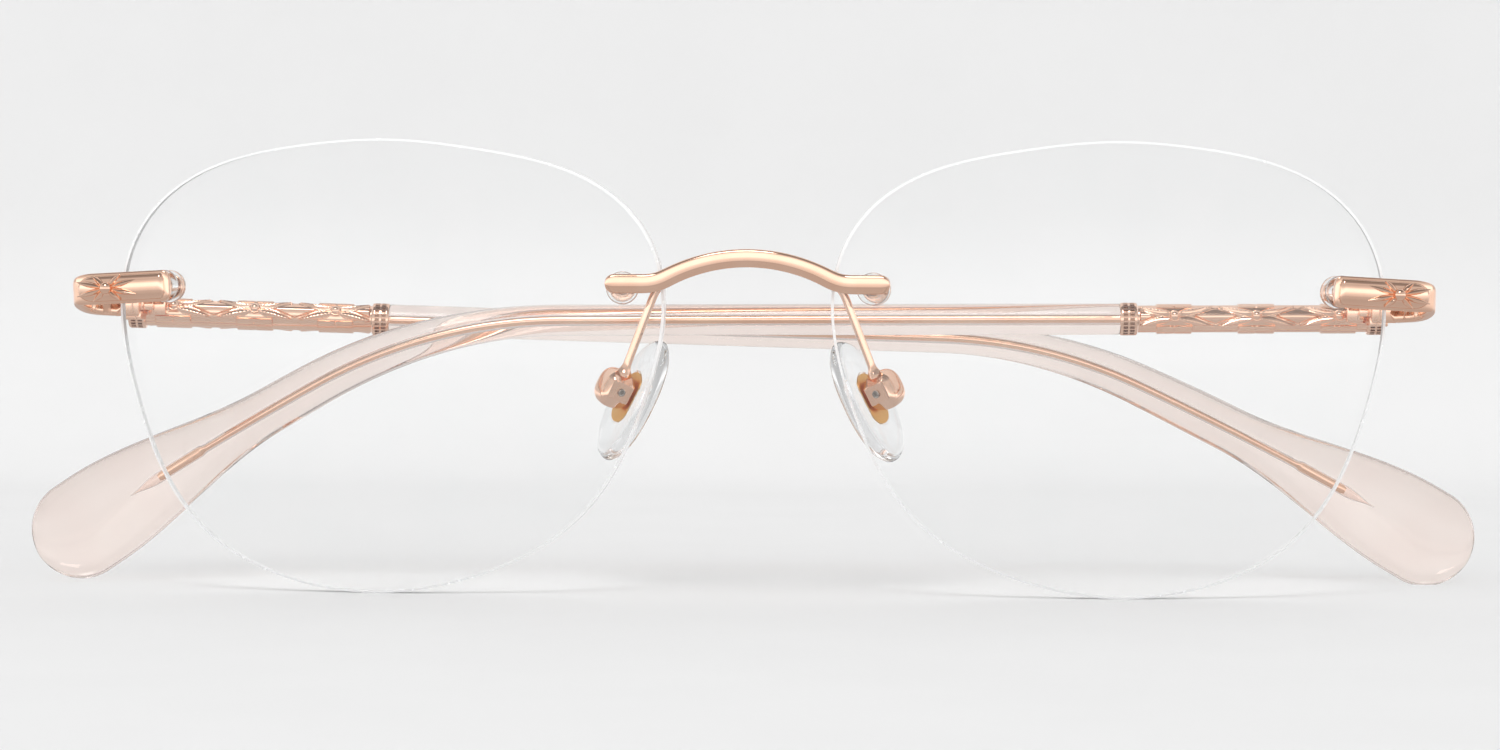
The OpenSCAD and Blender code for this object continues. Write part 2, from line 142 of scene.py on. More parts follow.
# The same for rays off polished metal, and the painted glow that the level floor shows them, by the
# steepness of the ray that meets it
MIRROR_SKY = ((-1.0, 0.3), (-0.02, 0.92), (0.07, 0.95), (0.2, 0.52),
              (0.4, 0.36), (0.6, 0.4), (0.7, 0.2), (1.0, 0.14))
MIRROR_FLOOR = ((0.0, 0.88), (0.07, 0.6), (0.2, 0.36), (0.5, 0.3), (1.0, 0.32))
KEY_POWER = 3.4
BOUNCES = 24


# ---------------------------------------------------------------- frames

def move(x=0.0, y=0.0, z=0.0):
    return Matrix.Translation((x, y, z))


def turn(degrees, axis):
    return Matrix.Rotation(math.radians(degrees), 4, axis)


def on_side(side, matrix):
    return matrix if side == "left" else MIRROR @ matrix


def lens_frame(side):
    return on_side(side, move(LENS_X, LENS_Y, LENS_Z) @ turn(WRAP, "Z"))


def hole_frame(side, hole):
    """Origin on the lens front at a drilled hole, -Y out of it."""
    lift = math.asin(hole[1] / FRONT_R)
    swing = math.degrees(math.asin(hole[0] / (FRONT_R * math.cos(lift))))
    spin = turn(swing, "Z") @ turn(-math.degrees(lift), "X")
    return lens_frame(side) @ move(y=FRONT_R) @ spin @ move(y=-FRONT_R)


def cap_frame(side):
    return hole_frame(side, TEMPLE_HOLE) @ turn(CAP_SLOPE, "Y")


def pad_frame(side):
    return on_side(side, move(*PAD_POS) @ turn(-PAD_LEAN, "Y") @ turn(PAD_TURN, "Z"))


def temple_frame(side, drooped=True):
    """Origin on the hinge screw, X along the folded temple, Y away from the lenses."""
    placed = move(-PIN.x, PIN.y, PIN.z) @ turn(FOLD[side], "Z")
    if side == "left":
        placed = MIRROR @ placed
    return placed @ turn(DROOP[side], "Y") if drooped else placed


# ---------------------------------------------------------------- mesh helpers

def smooth(t):
    c = np.clip(t, 0.0, 1.0)
    return c * c * (3 - 2 * c)


def full_turn(count):
    return np.linspace(0, 2 * np.pi, count, endpoint=False)


def superellipse(count, power):
    """Points of a unit circle squared up towards its box; 2 leaves it round."""
    c, s = np.cos(full_turn(count)), np.sin(full_turn(count))
    return np.sign(c) * np.abs(c) ** (2 / power), np.sign(s) * np.abs(s) ** (2 / power)


def turning(first, second, share):
    """Directions that go from first to second as the share goes from 0 to 1."""
    share = smooth(share)[:, None]
    return np.array([first]) * (1 - share) + np.array([second]) * share


def round_ring(radius, y, count):
    """Points round Y; the radius is one number or a number for each point."""
    q = full_turn(count)
    return np.stack([radius * np.cos(q), np.full(count, y), radius * np.sin(q)], 1)


def upright(outline, y):
    """An outline of x and z stood up at y, which is one number or a number for each point."""
    return np.stack([outline[:, 0], np.broadcast_to(y, len(outline)), outline[:, 1]], 1)


def corner_curve(before, corner, after, reach, steps):
    """Points of a curve that rounds one corner of a path."""
    p = np.array(corner, float)
    a, b = (p + (end - p) / np.linalg.norm(end - p) * min(reach, np.linalg.norm(end - p) / 2.05)
            for end in (np.array(before, float), np.array(after, float)))
    return [(1 - t) ** 2 * a + 2 * t * (1 - t) * p + t * t * b for t in np.linspace(0, 1, steps + 1)]


def soften(points, radii, steps=4):
    """A closed 2-D outline with each corner rounded by its radius."""
    out = []
    for i, corner in enumerate(points):
        reach = radii[i] if isinstance(radii, (list, tuple)) else radii
        out += corner_curve(points[i - 1], corner, points[(i + 1) % len(points)], reach, steps)
    return np.array(out)


def fillet_path(points, radius, steps=8):
    """An open 3-D path with its inner corners rounded."""
    out = [np.array(points[0], float)]
    for before, corner, after in zip(points, points[1:], points[2:]):
        out += corner_curve(before, corner, after, radius, steps)
    out.append(np.array(points[-1], float))
    return np.array(out)


def even_path(path, step):
    """The same path with evenly spaced points."""
    lengths = np.concatenate([[0], np.cumsum(np.linalg.norm(np.diff(path, axis=0), axis=1))])
    stations = np.linspace(0, lengths[-1], max(2, int(lengths[-1] / step) + 1))
    spaced = np.stack([np.interp(stations, lengths, path[:, k]) for k in range(3)], 1)
    return spaced, stations


def skin(rings, looped=False):
    """A tube of quads through rings of points, with its two ends closed or joined to each other."""
    rings = np.asarray(rings, float)
    count, sides = rings.shape[:2]
    faces = []
    for i in range(count if looped else count - 1):
        n = (i + 1) % count
        for k in range(sides):
            j = (k + 1) % sides
            faces.append((i * sides + k, i * sides + j, n * sides + j, n * sides + k))
    if not looped:
        faces.append(tuple(range(sides - 1, -1, -1)))
        faces.append(tuple(range((count - 1) * sides, count * sides)))
    return rings.reshape(-1, 3), faces


def sweep(path, sections, depth):
    """Rings of (height, depth) sections along a path; depth is the way the second number points."""
    path = np.asarray(path, float)
    along = np.gradient(path, axis=0)
    along /= np.linalg.norm(along, axis=1)[:, None]
    depth = np.broadcast_to(np.asarray(depth, float), path.shape)
    out = depth - (depth * along).sum(1)[:, None] * along
    out /= np.linalg.norm(out, axis=1)[:, None]
    up = np.cross(out, along)
    sections = np.asarray(sections, float)
    if sections.ndim == 2:
        sections = np.broadcast_to(sections, (len(path),) + sections.shape)
    return (path[:, None] + sections[..., :1] * up[:, None] + sections[..., 1:] * out[:, None])


def lathe(profile, sides=64, axis="Y"):
    """A turned solid from (radius, place along the axis) points."""
    rings = np.array([round_ring(r, at, sides) for r, at in profile])
    if axis == "Z":
        rings = rings[..., [0, 2, 1]]
    if axis == "X":
        rings = rings[..., [1, 0, 2]]
    return skin(rings)


def turned(r, a, b, edge, sides=64, axis="Y"):
    """A rod from a to b with rounded edges."""
    arc = np.linspace(0, np.pi / 2, 5)
    start = [(r - edge + edge * math.sin(t), a + edge - edge * math.cos(t)) for t in arc]
    stop = [(r - edge + edge * math.cos(t), b - edge + edge * math.sin(t)) for t in arc]
    return lathe([(0.02, a)] + start + stop + [(0.02, b)], sides, axis)


def ring_solid(inner, outer, a, b, edge, sides=64):
    """A washer round Y with rounded edges."""
    section = soften([(inner, a), (outer, a), (outer, b), (inner, b)], edge)
    rings = [[(r * math.cos(t), y, r * math.sin(t)) for r, y in section] for t in full_turn(sides)]
    return skin(rings, looped=True)


def soft_box(lo, hi, edge):
    """A box with rounded edges."""
    bm = bmesh.new()
    bmesh.ops.create_cube(bm, size=1.0)
    lo, hi = Vector(lo), Vector(hi)
    for v in bm.verts:
        v.co = Vector([(lo[k] + hi[k]) / 2 + v.co[k] * (hi[k] - lo[k]) for k in range(3)])
    bmesh.ops.bevel(bm, geom=bm.edges[:], offset=edge, segments=3, profile=0.5, affect="EDGES")
    bm.verts.ensure_lookup_table()
    shell = ([tuple(v.co) for v in bm.verts], [tuple(v.index for v in f.verts) for f in bm.faces])
    bm.free()
    return shell


def ball(centre, radii, sides=48):
    """An ellipsoid, pole to pole along Z."""
    q = full_turn(sides)
    rings = []
    for latitude in np.radians(np.linspace(-88, 88, sides // 2)):
        z, r = math.sin(latitude), math.cos(latitude)
        rings.append(np.stack([r * np.cos(q), r * np.sin(q), np.full(sides, z)], 1))
    return skin(np.array(rings) * np.array(radii) + np.array(centre))


def moved(shell, matrix):
    points, faces = shell
    return [tuple(matrix @ Vector(p)) for p in points], faces


def to_mesh(name, shells):
    points, faces = [], []
    for shell_points, shell_faces in shells:
        base = len(points)
        points.extend(tuple(float(c) * MM for c in p) for p in shell_points)
        faces.extend(tuple(base + i for i in f) for f in shell_faces)
    mesh = bpy.data.meshes.new(name)
    mesh.from_pydata(points, [], faces)
    return mesh


def add_object(name, data):
    obj = bpy.data.objects.new(name, data)
    bpy.context.scene.collection.objects.link(obj)
    return obj


def finish_mesh(mesh, sharp):
    """Faces outwards, smooth shading and crisp edges past an angle."""
    bm = bmesh.new()
    bm.from_mesh(mesh)
    bmesh.ops.remove_doubles(bm, verts=bm.verts[:], dist=1e-7)
    bmesh.ops.recalc_face_normals(bm, faces=bm.faces[:])
    bm.to_mesh(mesh)
    bm.free()
    mesh.shade_smooth()
    mesh.set_sharp_from_angle(angle=math.radians(sharp))


def piece(name, shells, material, body, nodes, matrix=Matrix(), sharp=38):
    """A finished piece that rides on a body and stands for CAD nodes."""
    mesh = to_mesh(name, [moved(s, matrix) for s in shells])
    finish_mesh(mesh, sharp)
    mesh.materials.append(material)
    obj = add_object(name, mesh)
    # Soft light goes straight through the clear pieces, as the lamp's does
    obj.visible_diffuse = material not in (LENS, PLASTIC, SILICONE, BLUSH)
    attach(obj, body)
    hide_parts(*nodes)
    return obj


# ---------------------------------------------------------------- materials

# Height of the finest grain, in metres
GRAIN_HEIGHT = 0.00002


def node_tree(name):
    mat = bpy.data.materials.new(name)
    mat.use_nodes = True
    nt = mat.node_tree
    shader = nt.nodes["Principled BSDF"]
    return mat, nt, shader


def object_noise(nt, scale, detail=3.0, stretch=(1, 1, 1)):
    coords = nt.nodes.new("ShaderNodeTexCoord")
    mapping = nt.nodes.new("ShaderNodeMapping")
    mapping.inputs["Scale"].default_value = stretch
    noise = nt.nodes.new("ShaderNodeTexNoise")
    noise.inputs["Scale"].default_value = scale
    noise.inputs["Detail"].default_value = detail
    nt.links.new(coords.outputs["Object"], mapping.inputs["Vector"])
    nt.links.new(mapping.outputs["Vector"], noise.inputs["Vector"])
    return noise.outputs["Fac"]


def ranged(nt, value, low, high):
    node = nt.nodes.new("ShaderNodeMapRange")
    node.inputs["From Min"].default_value = 0.3
    node.inputs["From Max"].default_value = 0.7
    node.inputs["To Min"].default_value = low
    node.inputs["To Max"].default_value = high
    nt.links.new(value, node.inputs["Value"])
    return node.outputs["Result"]


def tinted(nt, value, first, second):
    ramp = nt.nodes.new("ShaderNodeValToRGB")
    ramp.color_ramp.elements[0].position = 0.35
    ramp.color_ramp.elements[0].color = (*first, 1)
    ramp.color_ramp.elements[1].position = 0.65
    ramp.color_ramp.elements[1].color = (*second, 1)
    nt.links.new(value, ramp.inputs["Fac"])
    return ramp.outputs["Color"]


def bumped(nt, value, strength, distance):
    bump = nt.nodes.new("ShaderNodeBump")
    bump.inputs["Strength"].default_value = strength
    bump.inputs["Distance"].default_value = distance
    nt.links.new(value, bump.inputs["Height"])
    return bump.outputs["Normal"]


def surface(nt, shader, colours, rough, drift, grain, stretch=(1, 1, 1)):
    """A slow drift in colour and a fine grain in gloss; returns the grain."""
    fine = object_noise(nt, grain, 4.0, stretch)
    nt.links.new(tinted(nt, object_noise(nt, drift), *colours), shader.inputs["Base Color"])
    nt.links.new(ranged(nt, fine, *rough), shader.inputs["Roughness"])
    return fine


def blended(nt, share, first, second):
    """Mix of two shaders; a share of 1 is all second."""
    mix = nt.nodes.new("ShaderNodeMixShader")
    for socket, source in zip(mix.inputs, (share, first, second)):
        nt.links.new(source, socket)
    return mix.outputs["Shader"]


def metal(name, first, second, rough, grain=900.0, depth=0.02, stretch=(1, 1, 1)):
    """Polished plate: a slight drift in colour and gloss and a very fine grain."""
    mat, nt, shader = node_tree(name)
    shader.inputs["Metallic"].default_value = 1.0
    fine = surface(nt, shader, (first, second), rough, 260.0, grain, stretch)
    nt.links.new(bumped(nt, fine, depth, GRAIN_HEIGHT), shader.inputs["Normal"])
    return mat


def clear(name, first, second, ior, rough, shade):
    """See-through material: it refracts what is seen, and lets lamps through with a tint."""
    mat, nt, shader = node_tree(name)
    shader.inputs["Transmission Weight"].default_value = 1.0
    shader.inputs["IOR"].default_value = ior
    surface(nt, shader, (first, second), rough, 180.0, 700.0)
    path = nt.nodes.new("ShaderNodeLightPath")
    veil = nt.nodes.new("ShaderNodeBsdfTransparent")
    veil.inputs["Color"].default_value = (*shade, 1)
    mixed = blended(nt, path.outputs["Is Shadow Ray"], shader.outputs["BSDF"], veil.outputs["BSDF"])
    nt.links.new(mixed, nt.nodes["Material Output"].inputs["Surface"])
    return mat


def lens_edge_painted_highlight():
    """Polished lens edge: it pipes light, so it reads as a white line; its white colour and weak
    transmission paint that piped light in as a highlight.
    """
    mat, nt, shader = node_tree("lens_edge_painted_highlight")
    shader.inputs["Transmission Weight"].default_value = 0.2
    shader.inputs["IOR"].default_value = 1.5
    # White colour with little transmission: a painted highlight for the light the edge pipes
    surface(nt, shader, ((0.97, 0.975, 0.98), (1.0, 1.0, 1.0)), (0.12, 0.3), 300.0, 1500.0)
    return mat


ROSE = metal("rose_gold", (0.90, 0.575, 0.425), (0.93, 0.625, 0.475), (0.05, 0.1))
ROSE_SATIN = metal("rose_gold_satin", (0.84, 0.54, 0.40), (0.89, 0.60, 0.46), (0.16, 0.24),
                   grain=1400.0, depth=0.06)
WIRE = metal("wire_gold", (0.97, 0.78, 0.64), (1.0, 0.84, 0.70), (0.16, 0.24),
             depth=0.03, stretch=(0.2, 1, 1))
# Darker, duller copies of the rose gold: painted shade for the collar pockets and for the grooves of
# the tube's relief
ROSE_POCKET_PAINTED_SHADE = metal("rose_gold_painted_pocket_shade", (0.40, 0.22, 0.15), (0.50, 0.29, 0.20), (0.30, 0.42))
ROSE_GROOVE_PAINTED_SHADE = metal("rose_gold_painted_groove_shade", (0.66, 0.37, 0.25), (0.74, 0.43, 0.30), (0.14, 0.24))
INSERT = metal("insert_gold", (0.80, 0.46, 0.17), (0.86, 0.53, 0.22), (0.30, 0.40),
               grain=1800.0, depth=0.08)
STEEL = metal("screw_steel", (0.30, 0.27, 0.25), (0.42, 0.38, 0.35), (0.22, 0.35),
              grain=2500.0, depth=0.10)
# The coating on the lenses cuts their reflections, hence the low index
LENS = clear("lens_clear", (0.985, 0.99, 0.99), (0.995, 0.995, 0.995), 1.36, (0.0, 0.006),
             (0.99, 0.99, 0.99))
PLASTIC = clear("clear_plastic", (0.93, 0.94, 0.94), (0.97, 0.97, 0.97), 1.49, (0.01, 0.04),
                (0.86, 0.86, 0.86))
SILICONE = clear("pad_silicone", (0.95, 0.955, 0.96), (0.98, 0.98, 0.98), 1.43, (0.02, 0.06),
                 (0.9, 0.9, 0.9))
BLUSH = clear("blush_acetate", (0.985, 0.86, 0.805), (0.995, 0.885, 0.83), 1.46, (0.02, 0.05),
              (0.96, 0.92, 0.9))
EDGE_PAINTED_HIGHLIGHT = lens_edge_painted_highlight()


# ---------------------------------------------------------------- lenses

def lens_radius(a):
    c, s = np.cos, np.sin
    swell = 0.4 * c(a) + s(a) + 2.2 * c(2 * a) - 0.2 * s(2 * a) - 0.2 * c(3 * a) + 1.3 * s(3 * a)
    return 25.7 + swell - 0.6 * c(4 * a) + 0.3 * s(5 * a) - 0.3 * c(6 * a)


def lens_outline(count):
    """The lens shape about its own centre, as x and z."""
    a = full_turn(count)
    x, z = lens_radius(a) * np.cos(a), lens_radius(a) * np.sin(a)
    x = (x - (x.max() + x.min()) / 2) * LENS_W / (x.max() - x.min())
    z = z * LENS_H / (z.max() - z.min())
    return np.stack([x, z], 1)


LENS_Z = -lens_outline(720)[:, 1].min()


def lens_shell():
    """Front and back spheres joined by a polished edge with two fine safety bevels."""
    outline = lens_outline(288)
    inset = 1 - EDGE_BEVEL / 25
    shares = np.concatenate([np.linspace(0.02, 0.9, 12), [0.95, 0.98, inset]])
    front, back = [], []
    for share in shares:
        p = outline * share
        square = (p ** 2).sum(1)
        y_front = FRONT_R - np.sqrt(FRONT_R ** 2 - square)
        y_back = LENS_T + BACK_R - np.sqrt(BACK_R ** 2 - square)
        front.append(upright(p, y_front))
        back.append(upright(p, y_back))
    edge_front, edge_back = front[-1].copy(), back[-1].copy()
    for edge, sign in ((edge_front, 1), (edge_back, -1)):
        edge[:, 0], edge[:, 2] = outline[:, 0], outline[:, 1]
        edge[:, 1] += sign * EDGE_BEVEL
    return skin(np.array(front + [edge_front, edge_back] + back[::-1]))


def drill(mesh, cutters):
    """Cuts the drilled holes out of a lens mesh."""
    target = add_object("drilled", mesh)
    tools = []
    for i, shell in enumerate(cutters):
        tool_mesh = to_mesh(f"drill_{i}", [shell])
        finish_mesh(tool_mesh, 30)
        tool = add_object(f"drill_{i}", tool_mesh)
        cut = target.modifiers.new(f"cut_{i}", "BOOLEAN")
        cut.operation, cut.object, cut.solver = "DIFFERENCE", tool, "EXACT"
        tools.append(tool)
    bpy.context.view_layer.update()
    graph = bpy.context.evaluated_depsgraph_get()
    result = bpy.data.meshes.new_from_object(target.evaluated_get(graph))
    for obj in tools + [target]:
        bpy.data.objects.remove(obj)
    return result


def lens(side):
    """Drilled lens whose polished edge, but not its holes, has the white edge material, a painted
    highlight.
    """
    name = f"lens_{side}_blank"
    mesh = to_mesh(name, [moved(lens_shell(), lens_frame(side))])
    finish_mesh(mesh, 30)
    rod = turned(HOLE_R, -2.0, 6.0, 0.1, 48)
    holes = [hole_frame(side, hole) for hole in HOLES]
    mesh = drill(mesh, [moved(rod, hole) for hole in holes])
    mesh.shade_smooth()
    mesh.set_sharp_from_angle(angle=math.radians(30))
    mesh.materials.clear()
    mesh.materials.append(LENS)
    mesh.materials.append(EDGE_PAINTED_HIGHLIGHT)
    axis = lens_frame(side).to_3x3() @ Vector((0, 1, 0))
    middle = lens_frame(side).translation
    edge_from, hole_reach, face_tilt = 15.0, 2.2, 0.85
    for face in mesh.polygons:
        at = face.center / MM
        outside = (at - middle).length > edge_from
        in_hole = min((at - hole.translation).length for hole in holes) < hole_reach
        if outside and not in_hole and abs(face.normal.dot(axis)) < face_tilt:
            face.material_index = 1
    obj = add_object(name, mesh)
    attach(obj, "front")
    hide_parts(f"lens_{side}")


# ---------------------------------------------------------------- lens fasteners

def at_holes(shell):
    """The same small part at each of the four drilled holes."""
    return [moved(shell, hole_frame(side, hole)) for side in SIDES for hole in HOLES]


def nut_shell():
    """Hexagonal nut with a round flange and a chamfered top."""
    base = HOLE_T + SEAT_GAP + REAR_WASHER_T
    count, flat = 72, 1.04
    hexagon = flat / np.cos((full_turn(count) + np.pi / 6) % (np.pi / 3) - np.pi / 6)
    stations = ((0.0, 1.17, 0), (0.06, 1.25, 0), (0.24, 1.25, 0), (0.3, 1.19, 0), (0.32, 9.0, 1),
                (1.0, 9.0, 1), (1.12, 1.1, 1), (1.2, 0.98, 1), (1.2, 0.66, 0), (0.9, 0.62, 0))
    return skin([round_ring(np.minimum(hexagon, limit) if six_sided else limit, base + y, count)
                 for y, limit, six_sided in stations])


def screw_shell():
    """Lens screw with a fine thread where it shows past the nut."""
    end, crest, root, pitch = HOLE_T + 1.95, 0.6, 0.53, 0.12
    profile = [(0.02, -WASHER_T), (0.55, -WASHER_T), (crest, -WASHER_T + 0.05), (crest, HOLE_T + 1.4)]
    for k in range(4):
        at = HOLE_T + 1.45 + pitch * k
        profile += [(crest, at), (root, at + pitch / 2)]
    profile += [(0.58, end - 0.02), (0.42, end + 0.18), (0.2, end + 0.2),
                (0.18, end + 0.05), (0.02, end + 0.05)]
    return lathe(profile, 48)


def fasteners():
    rear = HOLE_T + SEAT_GAP
    piece("lens_screw_set", at_holes(screw_shell()), ROSE_SATIN, "front", ["lens_screws"])
    piece("lens_nut_set", at_holes(nut_shell()), ROSE, "front", ["lens_nuts"], sharp=25)
    for name, node, outer, a, b, edge in (
            ("lens_bushing_set", "lens_bushings", HOLE_R - 0.02, 0.03, HOLE_T - 0.05, 0.05),
            ("front_washer_set", "front_washers", WASHER_R, -WASHER_T, 0.0, 0.1),
            ("rear_washer_set", "rear_washers", WASHER_R, rear, rear + REAR_WASHER_T, 0.14)):
        shell = ring_solid(SCREW_CLEAR_R, outer, a, b, edge)
        piece(name, at_holes(shell), PLASTIC, "front", [node])


# ---------------------------------------------------------------- bridge

def bridge_half_path():
    """Centre line of the left half: the arch, a soft reverse bend, then the flat end on the lens."""
    arch_len, bend_len, step = 8.3, 3.2, 0.15
    y_mid, middle_y = -WASHER_T - BAR_D / 2, LENS_Y - 0.45
    end = hole_frame("left", NOSE_HOLE) @ Vector((1.8, y_mid, 0.4))
    start = hole_frame("left", NOSE_HOLE) @ Vector((-4.2, y_mid, 0.4))
    steepest = arch_len / ARCH_R
    x, z, s, points = 0.0, 0.0, 0.0, [(0.0, 0.0)]
    while s < arch_len + bend_len:
        s += step
        angle = s / ARCH_R if s < arch_len else steepest * (1 - smooth((s - arch_len) / bend_len))
        x += math.cos(angle) * step
        z -= math.sin(angle) * step
        points.append((x, z))
    drop = (start.z - ARCH_TOP) / points[-1][1]
    path = [(px, middle_y + (start.y - middle_y) * smooth(px / x), ARCH_TOP + pz * drop)
            for px, pz in points]
    landing = Vector(path[-1])
    path += [tuple(landing.lerp(end, t)) for t in np.linspace(0, 1, 40)[1:]]
    return np.array(path)


def bridge():
    """Bar with a lower facet at the back, slimmer in the arch and rounded at its ends."""
    half = bridge_half_path()
    whole = np.concatenate([half[:0:-1] * (-1, 1, 1), half])
    path, stations = even_path(whole, 0.13)
    length = stations[-1]
    h, d = BAR_H / 2, BAR_D / 2
    corners = [(h, -d), (h, d - 0.2), (h - 0.2, d), (-h + 0.64, d), (-h, d - 0.6), (-h, -d)]
    section = soften(corners, [0.22, 0.12, 0.14, 0.1, 0.14, 0.22], 3)
    to_end = np.minimum(stations, length - stations)
    round_len, thin_len = 0.98, 0.45
    tip = np.sqrt(1 - (1 - np.clip(to_end / round_len, 0, 1)) ** 2)
    tall = 0.06 + 0.94 * tip
    thin = 0.55 + 0.45 * np.sqrt(np.clip(to_end / thin_len, 0, 1))
    slim = 1 - 0.05 * smooth((12 - np.abs(path[:, 0])) / 6)
    sections = np.stack([section[None, :, 0] * (tall * slim)[:, None],
                         section[None, :, 1] * thin[:, None]], 2)
    rings = sweep(path, sections, (0, -1, 0))
    piece("bridge_bar", [skin(rings)], ROSE, "front", ["bridge"], sharp=28)


# ---------------------------------------------------------------- endpieces

def cap_relief(x, z):
    """Raised pillow on the front of a cap: a low dome with a crisp outline and rounded ends."""
    half = CAP_H / 2 - 0.3
    start, stop, near_len, far_len, dome = -0.48, 8.75, 0.5, 1.9, 0.46
    near = np.maximum(start + near_len - x, 0) / near_len
    far = np.maximum(x - stop + far_len, 0) / far_len
    inside = np.clip(1 - np.abs(z / half) ** 2.4 - near ** 2.2 - far ** 2.2, 0, 1)
    return dome * np.sqrt(inside)


def endpiece_path():
    """From the inner end of the left cap, round the corner and back to the hinge block."""
    y_mid = -WASHER_T - CAP_T / 2
    start = cap_frame("left") @ Vector((CAP_START, y_mid, 0))
    bend = cap_frame("left") @ Vector((CAP_LEN + 0.05, y_mid + 0.05, 0))
    points = [tuple(start), tuple(bend), (69.35, LENS_Y + 5.6, 29.9), (68.6, LENS_Y + 8.3, 29.05),
              (65.6, PIN.y - 1.9, 28.85)]
    return even_path(fillet_path(points, 1.9, 16), 0.08)


def endpiece(side):
    """Cap, arm and end block as one bar, with the two outer barrels of the hinge."""
    path, s = endpiece_path()
    cap_end = CAP_LEN + 0.4
    # Half height and front and back thickness along the path
    corner = 0.7
    inset = np.maximum(corner - s, 0)
    inner_h = CAP_H / 2 - corner + np.sqrt(corner ** 2 - inset ** 2)
    taper = smooth((s - cap_end) / 5)
    # The top rounds off towards the outer end
    turned_in = np.clip((s - 8.0) / 2.9, 0, 1)
    half_h = inner_h - 0.62 * (1 - np.sqrt(1 - (0.97 * turned_in) ** 2)) - 0.1 * taper
    front = CAP_T / 2 - 0.5 + 0.2 * np.sqrt(np.clip(s / 0.22, 0, 1))
    back = np.full(len(s), CAP_T / 2) + 0.1 * taper
    tip = np.sqrt(np.clip((s[-1] - s) / 0.5, 0.02, 1))
    sq_c, sq_s = superellipse(160, 4.2)
    height = sq_c[None] * (half_h * tip)[:, None]
    depth = np.where(sq_s > 0, sq_s[None] * front[:, None], sq_s[None] * back[:, None])
    facing = smooth((sq_s - 0.3) / 0.5)
    depth = depth + facing[None] * cap_relief(s[:, None] + CAP_START, height)
    # The outward direction turns with the path from the front to the side of the face
    outward = turning((0.0, -1.0, 0.0), (1.0, 0.0, 0.0), (s - cap_end + 1.5) / 5)
    shells = [skin(sweep(path, np.stack([height, depth], 2), outward))]
    for a, b in ((-1.55, -0.61), (0.61, 1.55)):
        barrel = turned(BARREL_R, a, b, 0.09, 48, "Z")
        arm = soft_box((-1.05, -2.3, a + 0.04), (0.95, 0.2, b - 0.04), 0.12)
        shells += [moved(barrel, HINGE), moved(arm, HINGE)]
    shells.append(moved(soft_box((-0.9, -2.6, -1.15), (2.0, -1.3, 1.3), 0.3), HINGE))
    piece(f"endpiece_{side}_arm", shells, ROSE, "front", [f"endpiece_{side}"],
          on_side(side, Matrix()), 32)


def leaf(length, width, lift, start=0.25):
    """A pointed leaf with a sharp crest, lying along +X and rising towards -Y."""
    rings = []
    for t in np.linspace(0.0, 1.0, 22):
        swell = math.sin(math.pi * min(max(t, 0.02), 0.985) ** 0.8) ** 0.8
        w, h = width * swell, lift * swell * (1 - 0.35 * t)
        x = start + (length - start) * t
        across = [(-w, 0.3), (-w, 0.02), (-w * 0.55, -h * 0.66), (0, -h),
                  (w * 0.55, -h * 0.66), (w, 0.02), (w, 0.3), (0, 0.34)]
        rings.append([(x, y, z) for z, y in across])
    return skin(np.array(rings))


def star(side):
    """Eight leaves and a bead: four long leaves along the cap and four short ones across it."""
    face = -WASHER_T - CAP_T - 0.08
    shells = []
    for lean, length, width in ((13, 3.3, 0.31), (42, 1.95, 0.3)):
        for angle in (lean, -lean, 180 - lean, 180 + lean):
            shells.append(moved(leaf(length, width, 0.4), turn(-angle, "Y")))
    shells.append(ball((0, -0.22, 0), (0.62, 0.55, 0.62)))
    matrix = cap_frame(side) @ move(STAR_X, face, 0)
    piece(f"star_{side}_relief", shells, ROSE, "front", [f"star_{side}"], matrix, 40)


def hinge_screw(side):
    """Screw with a domed, slotted head."""
    shaft = turned(0.5, -1.55, 1.6, 0.06, 48, "Z")
    head = lathe([(0.02, 1.55), (0.9, 1.55), (0.9, 1.72), (0.84, 1.84),
                  (0.7, 1.92), (0.45, 1.95), (0.02, 1.95)], 48, "Z")
    mesh = to_mesh("head", [head])
    finish_mesh(mesh, 35)
    cut = drill(mesh, [soft_box((-1.2, -0.1, 1.78), (1.2, 0.1, 2.3), 0.02)])
    points = [tuple(v.co / MM) for v in cut.vertices]
    shells = [shaft, (points, [tuple(p.vertices) for p in cut.polygons])]
    piece(f"hinge_screw_{side}_slotted", shells, ROSE_SATIN, "front",
          [f"hinge_screw_{side}"], on_side(side, HINGE), 35)


# ---------------------------------------------------------------- nose pads

def pad_arm(side):
    """Flat-sided wire from the back of the bridge down to the pad box, wider where it meets it."""
    points = [(8.0, LENS_Y - 0.1, 31.9), (8.0, LENS_Y + 3.4, 31.9), (9.45, LENS_Y + 4.4, 31.2),
              (12.9, LENS_Y + 5.3, 22.2)]
    path, stations = even_path(fillet_path(points, 1.4, 10), 0.15)
    half, flare_len = 0.36, 1.6
    corners = soften([(half, -half), (half, half), (-half, half), (-half, -half)], 0.2, 3)
    flare = 1 + 1.1 * smooth((stations - stations[-1] + flare_len) / flare_len) ** 2
    sections = corners[None] * flare[:, None, None]
    rings = sweep(path, sections, turning((-1.0, 0.0, 0.0), (0.35, -1.0, 0.1), (stations - 3.0) / 1.6))
    piece(f"pad_arm_{side}_wire", [skin(rings)], ROSE, "front", [f"pad_arm_{side}"],
          on_side(side, Matrix()), 30)


